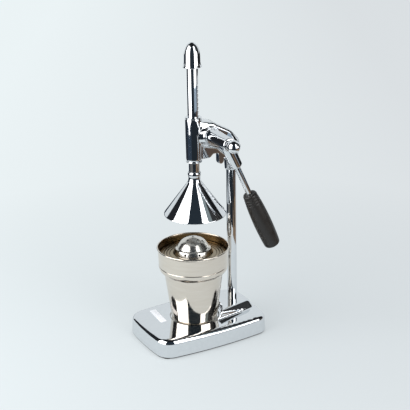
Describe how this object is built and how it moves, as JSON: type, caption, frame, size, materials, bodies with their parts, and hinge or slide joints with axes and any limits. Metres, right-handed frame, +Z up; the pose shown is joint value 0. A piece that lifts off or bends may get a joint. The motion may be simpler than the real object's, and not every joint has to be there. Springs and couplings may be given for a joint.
{
  "type": "lever citrus press",
  "caption": "Stand-mounted lever citrus press: a rack ram pushes a flared cone into a strainer over a steel cup, on a heavy footed base.",
  "frame": {"origin": "middle of the base at table level, between the four feet", "axes": "+Z up, -Y to the front where the cup stands, +Y to the column, +X to the lever's side"},
  "size_m": [0.124, 0.164, 0.365],
  "materials": {
    "plated_casting": "gloss",
    "polished_chrome": "polished",
    "satin_steel": "satin",
    "bright_steel": "satin",
    "bearing_bronze": "satin",
    "black_grip": "matte",
    "dark_sheet": "matte",
    "white_label": "satin",
    "black_rubber": "matte"
  },
  "bodies": {
    "stand": {"base_casting": "plated_casting", "base_cover": "dark_sheet", "foot_1": "black_rubber", "foot_2": "black_rubber", "foot_3": "black_rubber", "foot_4": "black_rubber", "blank_plate": "white_label", "column": "polished_chrome", "column_washer": "bright_steel", "column_nut": "bright_steel", "head_casting": "plated_casting", "lock_screw": "bright_steel", "upper_guide": "polished_chrome", "lower_guide": "polished_chrome", "pinion_bush": "bearing_bronze", "housing_cover": "plated_casting", "cover_screw_1": "bright_steel", "cover_screw_2": "bright_steel", "cover_screw_3": "bright_steel"},
    "ram": {"ram_rod": "polished_chrome", "bell_cap": "polished_chrome", "press_cone": "polished_chrome", "cone_washer": "bright_steel", "cone_nut": "bright_steel"},
    "lever": {"pinion": "bright_steel", "shaft_washer": "bright_steel", "shaft_clip": "bright_steel", "lever_hub": "plated_casting", "hub_pin": "bright_steel", "hub_nut": "polished_chrome", "lever_rod": "polished_chrome", "grip": "black_grip"},
    "cup": {"juice_cup": "satin_steel"},
    "strainer": {"strainer": "satin_steel"}
  },
  "joints": [
    {"name": "lever_swing", "type": "hinge", "parent": "stand", "child": "lever", "pos_m": [0, 0.01512, 0.255], "axis": [1, 0, 0], "range_deg": [-12, 195]},
    {"name": "ram_slide", "type": "slide", "parent": "stand", "child": "ram", "axis": [0, 0, -1], "range_m": [-0.00252, 0.04085]},
    {"name": "cup_lift", "type": "slide", "parent": "stand", "child": "cup", "axis": [0, -0.9135, 0.4067], "range_m": [0, 0.15]},
    {"name": "strainer_turn", "type": "hinge", "parent": "cup", "child": "strainer", "pos_m": [0, -0.0055, 0.1076], "axis": [0, 0, 1], "range_deg": [-180, 180]}
  ],
  "couplings": [
    {"joint": "ram_slide", "follows": "lever_swing", "m_per_rad": 0.012}
  ]
}
